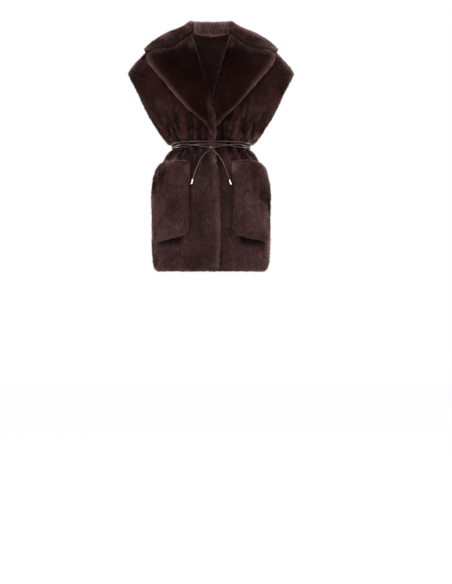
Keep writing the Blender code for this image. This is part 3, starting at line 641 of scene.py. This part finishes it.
def swirl(points):
    """Soft random brushing, the same each run."""
    waves = ((31.0, 17.0, 23.0, 0.4), (57.0, -41.0, 35.0, 2.1), (-19.0, 66.0, 71.0, 4.0))
    total = np.zeros(points.shape)
    for number, (a, b, c, phase) in enumerate(waves):
        angle = points @ np.array((a, b, c)) + phase
        total[:, 0] += np.sin(angle) / (number + 1)
        total[:, 1] += np.sin(angle * 1.3 + 1.0) / (number + 1)
        total[:, 2] += np.cos(angle * 0.9 + 2.0) / (number + 1)
    return total


def new_piece(name, mesh, material):
    mesh.materials.clear()
    mesh.materials.append(material)
    piece = link(bpy.data.objects.new(name, mesh))
    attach(piece, "root")
    return piece


def folds_remade(points, normals, triangles, raised):
    """A front's moves that smooth the solid's gathers, and how far its main folds sink."""
    facing = normals[:, 1] < FRONT_FACES
    height = points[:, 2]
    inside = np.clip(np.minimum(height - SMOOTHED_FROM, SMOOTHED_TO - height) / SMOOTHED_FADE, 0.0, 1.0)
    inside *= np.clip(2.0 * diffused(facing.astype(float), triangles, 3) - 0.8, 0.0, 1.0)
    return np.clip(-raised * inside, -SMOOTHED_BY, SMOOTHED_BY), fold_share(points) * facing * FOLD_DEPTH


def make_pelt(name, material, trees, turned_edges):
    """The backing of a fur piece, sunk under the pile, and what the pile needs to know of it."""
    mesh = rounded_mesh(name, 1)
    points, normals, triangles = mesh_arrays(mesh)
    raised = relief(points, normals, triangles)
    sunk = np.zeros(len(points))
    move = np.minimum(raised, 0.0) * DEEPER
    if name in FRONTS:
        move, sunk = folds_remade(points, normals, triangles, raised)
    mesh.vertices.foreach_set("co", (points + normals * move[:, None]).ravel())
    mesh.update()
    points, normals, triangles = mesh_arrays(mesh)
    own = tree_of(points, triangles)
    thick, near_edge = thickness(points, normals, own)
    furred = np.einsum("ij,ij->i", normals, outward(points)) > TURNED_IN.get(name, TURNED_IN_ELSE)
    if name == "collar":
        furred[:] = True
    covered = np.zeros(len(points), dtype=bool)
    for other in FUR_PIECES:
        if other != name:
            covered |= distances(points, normals, trees[other], UNDER) < UNDER
    # Painted shade where the pieces round the pile hide its sky
    sky = sky_share(points, normals, [own] + [trees[other] for other in SHADED_BY[name]])
    # Painted shade in the crease where the collar meets the lapels
    if name == "collar":
        sky *= 1.0 - GORGE_PAINTED_SHADE * gorge_painted_shade(points, [trees["lapel_right"], trees["lapel_left"]])
    # Painted shadow on the fronts under the pockets' bottom edges
    if name in FRONTS:
        under_pocket = sky_share(points, normals, [trees[name.replace("front", "pocket")]])
        shade = np.clip((POCKET_BOTTOM - points[:, 2]) / POCKET_SHADE_FADE, 0.0, 1.0)
        sky = sky * (1.0 - shade) + np.minimum(sky, under_pocket) * shade
    hidden = covered & (not name.startswith("lapel"))
    seeds = (near_edge > RIM_FROM) & (np.abs(points[:, 1]) > SEAM_HALF) & ~hidden
    seeds &= turned_edges(points, normals)
    depth = np.where(furred, np.clip(thick * PILE_SHARE, PILE_LEAST, PILE), PILE_UNFURRED)
    mesh.vertices.foreach_set("co", (points - normals * (depth + sunk)[:, None]).ravel())
    mesh.shade_smooth()
    mesh.update()
    pelt = new_piece(name + "_pelt", mesh, material)
    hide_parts(name)
    surface = {
        "points": points,
        "normals": normals,
        "triangles": triangles,
        "depth": depth,
        "raised": relief(points, normals, triangles),
        "sky": sky,
        "edge": rim_near(points, points[seeds]),
        "furred": furred,
        "covered": covered,
    }
    return pelt, surface


def blade_mesh(name, corners, normals, shades):
    """One triangle for each blade of pile, lit as the surface it stands on."""
    count = len(corners)
    mesh = bpy.data.meshes.new(name)
    mesh.vertices.add(count * 3)
    mesh.vertices.foreach_set("co", corners.ravel())
    mesh.loops.add(count * 3)
    mesh.loops.foreach_set("vertex_index", np.arange(count * 3, dtype=np.int32))
    mesh.polygons.add(count)
    mesh.polygons.foreach_set("loop_start", np.arange(0, count * 3, 3, dtype=np.int32))
    mesh.polygons.foreach_set("use_smooth", np.ones(count, dtype=bool))
    for label, values in shades.items():
        mesh.attributes.new(label, "FLOAT", "POINT").data.foreach_set("value", values.ravel())
    side = math.ceil(math.sqrt(count))
    cell = np.stack((np.arange(count) % side, np.arange(count) // side), axis=1)
    inside = np.array(((0.15, 0.15), (0.85, 0.15), (0.5, 0.85)))
    uv = (cell[:, None, :] + inside[None, :, :]) / side
    mesh.uv_layers.new(name="OFBake").data.foreach_set("uv", uv.ravel())
    mesh.update(calc_edges=True)
    mesh.validate()
    mesh.normals_split_custom_set_from_vertices(np.repeat(normals, 3, axis=0))
    return mesh


def clumps(place, random):
    """Middle of the tuft that each blade belongs to, and a random number for each tuft."""
    shift = np.sin(place[:, ::-1] * 190.0) * 0.3
    cells = np.floor(place / CLUMP + shift).astype(np.int64)
    keys = (cells @ np.array((73856093, 19349663, 83492791))) % CLUMP_KEYS
    offsets = random.uniform(-0.35, 0.35, (CLUMP_KEYS, 3))
    bright = random.normal(0.0, 1.0, CLUMP_KEYS)
    middle = (cells - shift + 0.5 + offsets[keys]) * CLUMP
    return middle, bright[keys][:, None]


def make_fur(name, surface, material, count, nap, seed):
    """Pile on a pelt: blades from the backing out to the outside of the solid."""
    random = np.random.default_rng(seed)
    triangles = surface["triangles"]
    wanted = (surface["furred"][triangles].sum(axis=1) >= 2) & ~surface["covered"][triangles].all(axis=1)
    triangles = triangles[wanted]
    corners = surface["points"][triangles]
    areas = np.linalg.norm(np.cross(corners[:, 1] - corners[:, 0], corners[:, 2] - corners[:, 0]), axis=1)
    chosen = triangles[np.sort(random.choice(len(triangles), size=count, p=areas / areas.sum()))]
    weights = random.dirichlet((1.0, 1.0, 1.0), size=count)[:, :, None]

    def spread(values):
        values = values[chosen]
        return ((values if values.ndim == 3 else values[:, :, None]) * weights).sum(axis=1)

    place = spread(surface["points"])
    normal = unit(spread(surface["normals"]))
    deep = spread(surface["depth"])
    fold_painted_light = 1.0
    if name in FRONTS:
        fold, fold_painted_light, tilted = folded(place, normal)
        place = place - normal * fold * FOLD_DEPTH
        normal = tilted
    middle, tuft = clumps(place, random)
    gather_in = (middle - place) / CLUMP
    way = nap(place) + BRUSHING * swirl(place) + INTO_TUFT * gather_in
    way = way + random.normal(0.0, ASTRAY, (count, 3))
    way = unit(way - normal * (way * normal).sum(axis=1, keepdims=True))
    across = np.cross(normal, way)
    twist = random.uniform(-BLADE_TWIST, BLADE_TWIST, (count, 1))
    across = unit(across * np.cos(twist) + way * np.sin(twist))
    width = random.uniform(*BLADE_WIDTH, (count, 1))
    out = random.uniform(*TIP_OUT, (count, 1)) * np.clip(1.0 + 0.3 * tuft, 0.4, 1.5)
    lean = random.uniform(*BLADE_LEAN, (count, 1))
    root = place - normal * (deep + ROOT_UNDER)
    tip = place + normal * out + way * (deep + out) * lean
    blades = np.stack((root - across * width / 2.0, root + across * width / 2.0, tip), axis=1)
    facing = np.cross(blades[:, 1] - blades[:, 0], blades[:, 2] - blades[:, 0])
    turned = (facing * normal).sum(axis=1) < 0.0
    blades[turned] = blades[turned][:, (1, 0, 2)]
    away = outward(place)
    turned_in = np.clip(INWARD_FROM - (normal * away).sum(axis=1, keepdims=True), 0.0, 1.0)
    lit = normal + LIT_OUTWARD * turned_in * away + LIT_ALONG * way - LIT_TUFT * gather_in
    lit = unit(lit + random.normal(0.0, LIT_ASTRAY, (count, 3)))
    bright = np.clip(random.normal(1.0, 0.14, (count, 1)) + 0.10 * tuft, 0.4, 1.7)
    # Painted light and shade: darker where the blade sees less sky, in the folds' cores and under the
    # pockets, lighter on the folds' ridges
    light = hollow_shade(spread(surface["sky"])) * fold_painted_light
    # Painted shade: the collar a fixed share darker, the chest darker than the skirt
    light *= COLLAR_SHADE if name == "collar" else painted_chest_shade(place)
    if name in FRONTS:
        turned_in *= place[:, 2:3] > LAPEL_FOOT
    # Painted shade on pile that turns into the body
    if name in FRONTS or name.startswith("lapel"):
        light *= 1.0 - INWARD_PAINTED_SHADE * turned_in
    # Painted highlight where the form stands out, painted shade in its hollows
    if not name.startswith("lapel"):
        light *= np.clip(1.0 + spread(surface["raised"]) * RELIEF_GAIN, *RELIEF_LIGHT)
    # Painted highlight along turned edges, weaker on the fronts
    rim = spread(surface["edge"]) * (FRONT_RIM if name in FRONTS else 1.0)
    shades = {
        "tone": bright * np.array(TONE_ALONG),
        "rim": rim * np.array(RIM_ALONG),
        "light": np.repeat(light, 3, axis=1),
    }
    mesh = blade_mesh(name + "_fur", blades, lit, shades)
    return new_piece(name + "_fur", mesh, material)


def hollow_shade(sky):
    """Painted shade: pile that sees less of the sky, down in a fold or under another piece, is darkened."""
    share = np.clip((sky - SKY_DARK) / (SKY_BRIGHT - SKY_DARK), 0.0, 1.0)
    return SHADE_IN_HOLLOWS + (1.0 - SHADE_IN_HOLLOWS) * share


def painted_chest_shade(place):
    """Painted shade: the chest, brushed flatter than the skirt, is painted darker for the light its nap
    catches.
    """
    height = place[:, 2:3]
    share = np.clip((height - BRUSHED_FROM) / (BRUSHED_TO - BRUSHED_FROM), 0.0, 1.0)
    return 1.0 - CHEST_PAINTED_DARKER * share


def all_edges(points, normals):
    return np.ones(len(points), dtype=bool)


def edges_but_hem(points, normals):
    """A front's or the back's edges but for the hem and for those behind the lapels. Gathers aren't edges."""
    across = np.abs(points[:, 0])
    height = points[:, 2]
    behind = (height > LAPEL_FOOT) & (across < LAPEL_FOLD)
    inner = np.where(points[:, 1] > 0.0, -1.0, PLACKET)
    gathered = (height < GATHERS_TOP) & (height > GATHERS_FOOT) & (across > inner) & (across < GATHERS_HALF)
    return (height > HEM_TOP) & ~behind & ~gathered


def outer_edges(points, normals):
    """A lapel's edges but for its fold line."""
    up_or_out = (points[:, 2] > LAPEL_TOP_HEIGHT) | (np.abs(points[:, 0]) > LAPEL_TOP_ACROSS)
    return (np.sign(points[:, 0]) * normals[:, 0] > LAPEL_SIDE) | ((normals[:, 2] > LAPEL_TOP) & up_or_out)


def top_edge(points, normals):
    """A pocket's mouth."""
    return normals[:, 2] > POCKET_TOP


def nap_down(points):
    return np.tile(np.array((0.0, 0.0, -1.0)), (len(points), 1))


def nap_from_neck(points):
    return unit(points - np.array(NECK))


def nap_lapel(points):
    away = np.zeros(points.shape)
    away[:, 0] = np.sign(points[:, 0])
    away[:, 2] = -0.7
    return unit(away)


def curve_points(points, count):
    """Evenly spaced points of a Catmull-Rom curve through points."""
    points = np.array(points)
    padded = np.concatenate(([2 * points[0] - points[1]], points, [2 * points[-1] - points[-2]]))
    fine = []
    for a, b, c, d in zip(padded, padded[1:], padded[2:], padded[3:]):
        for t in np.arange(0.0, 1.0, 0.05):
            square, cube = t * t, t * t * t
            second, third = 2 * a - 5 * b + 4 * c - d, 3 * b - a - 3 * c + d
            fine.append(0.5 * (2 * b + (c - a) * t + second * square + third * cube))
    fine.append(points[-1])
    fine = np.array(fine)
    lengths = np.concatenate(([0.0], np.cumsum(np.linalg.norm(np.diff(fine, axis=0), axis=1))))
    wanted = np.linspace(0.0, lengths[-1], count)
    return np.stack([np.interp(wanted, lengths, fine[:, axis]) for axis in range(3)], axis=1), lengths[-1]


def tube(name, points, diameter, material):
    """A cord as a curve with a round section."""
    data = bpy.data.curves.new(name, "CURVE")
    data.dimensions = "3D"
    data.bevel_depth = diameter / 2.0
    data.bevel_resolution = 5
    data.use_fill_caps = True
    spline = data.splines.new("POLY")
    spline.points.add(len(points) - 1)
    for point, place in zip(spline.points, points):
        point.co = (*place, 1.0)
    data.materials.append(material)
    made = link(bpy.data.objects.new(name, data))
    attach(made, "root")
    return made


def make_tip(name, path, material):
    """A flared metal tip, turned round the end of its cord, hollow at the mouth."""
    along = unit((path[-1] - path[-3])[None])[0]
    start = path[-1] + along * TIP_GAP
    side = unit(np.cross(along, (0.0, 1.0, 0.0))[None])[0]
    up = np.cross(side, along)
    work = bmesh.new()
    rings = []
    for distance, radius in TIP_PROFILE:
        ring = []
        for k in range(TIP_SIDES):
            turn = 2.0 * math.pi * k / TIP_SIDES
            offset = side * math.cos(turn) + up * math.sin(turn)
            ring.append(work.verts.new(start + along * distance + offset * max(radius, 2e-5)))
        rings.append(ring)
    for ring, after in zip(rings, rings[1:]):
        for k in range(TIP_SIDES):
            nearby = (k + 1) % TIP_SIDES
            work.faces.new((ring[k], ring[nearby], after[nearby], after[k]))
    work.faces.new(rings[0])
    work.faces.new(rings[-1])
    bmesh.ops.recalc_face_normals(work, faces=work.faces)
    mesh = bpy.data.meshes.new(name)
    work.to_mesh(mesh)
    work.free()
    mesh.shade_smooth()
    piece = new_piece(name + "_turned", mesh, material)
    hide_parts(name)
    return piece


def make_cord_ends(leather, gold):
    for name, tip_name in (("belt_end_right", "belt_tip_right"), ("belt_end_left", "belt_tip_left")):
        path, length = curve_points(END_ROUTES[name], CORD_SAMPLES)
        end = tube(name + "_cord", path, CORD_DIAMETER, leather)
        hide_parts(name)
        tip = make_tip(tip_name, path, gold)


def make_belt(leather):
    """The turns round the waist, rounder than in the solids, and the knot as a coil over its core."""
    mesh = rounded_mesh("belt_wraps", 2)
    mesh.shade_smooth()
    wraps = new_piece("belt_wraps_cord", mesh, leather)
    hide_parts("belt_wraps")
    core = rounded_mesh("belt_knot", 2)
    core.shade_smooth()
    knot = new_piece("belt_knot_core", core, leather)
    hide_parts("belt_knot")
    coil = []
    for share in np.linspace(0.0, 1.0, KNOT_SAMPLES):
        turn = 2.0 * math.pi * KNOT_TURNS * share
        offset = (
            KNOT_COIL[0] * (2.0 * share - 1.0),
            KNOT_COIL[1] * math.cos(turn),
            KNOT_COIL[2] * math.sin(turn),
        )
        coil.append([c + o for c, o in zip(KNOT_CENTRE, offset)])
    tube("belt_knot_coil", coil, CORD_DIAMETER * KNOT_CORD, leather)


# Fur pieces: material, number of blades, nap, which edges are rims, seed
FUR_PIECES = {
    "back": ("fur", 150000, nap_down, edges_but_hem, 11),
    "front_right": ("fur", 120000, nap_down, edges_but_hem, 12),
    "front_left": ("fur", 120000, nap_down, edges_but_hem, 13),
    "collar": ("fur", 110000, nap_from_neck, all_edges, 14),
    "lapel_right": ("fur_dark", 50000, nap_lapel, outer_edges, 15),
    "lapel_left": ("fur_dark", 45000, nap_lapel, outer_edges, 16),
    "pocket_right": ("fur", 34000, nap_down, top_edge, 17),
    "pocket_left": ("fur", 34000, nap_down, top_edge, 18),
}
# Colours of the pile at the root, at the tip and of the painted highlight on turned edges
PILES = {
    "fur": ("fur_pile", (0.012, 0.0045, 0.0042), (0.088, 0.034, 0.032), (0.160, 0.088, 0.080)),
    # The lapels' pile is a darker copy of the same fur, painted shade for the light its turned nap catches
    "fur_dark": ("fur_pile_dark", (0.006, 0.0022, 0.0022), (0.054, 0.018, 0.016), (0.185, 0.092, 0.080)),
}
# Pieces that shade a fur piece beside itself
SHADED_BY = {
    "back": ("front_right", "front_left", "collar", "belt_wraps"),
    "front_right": ("lapel_right", "collar", "back", "belt_wraps"),
    "front_left": ("lapel_left", "collar", "back", "belt_wraps", "front_right"),
    "collar": ("back", "front_right", "front_left"),
    "lapel_right": ("collar", "front_right"),
    "lapel_left": ("collar", "lapel_right", "front_left"),
    "pocket_right": (),
    "pocket_left": (),
}


def main():
    make_camera()
    leather = leather_material()
    gold = gold_material()
    make_cord_ends(leather, gold)
    make_studio()
    make_belt(leather)
    furs = {slot_name: fur_material(*colours) for slot_name, colours in PILES.items()}
    pelt_look = pelt_material()
    trees = {}
    for name in (*FUR_PIECES, "belt_wraps"):
        points, _, triangles = mesh_arrays(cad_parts[name].data)
        trees[name] = tree_of(points, triangles)
    for name, (slot_name, count, nap, edges, seed) in FUR_PIECES.items():
        pelt, surface = make_pelt(name, pelt_look, trees, edges)
        fur = make_fur(name, surface, furs[slot_name], count, nap, seed)


main()
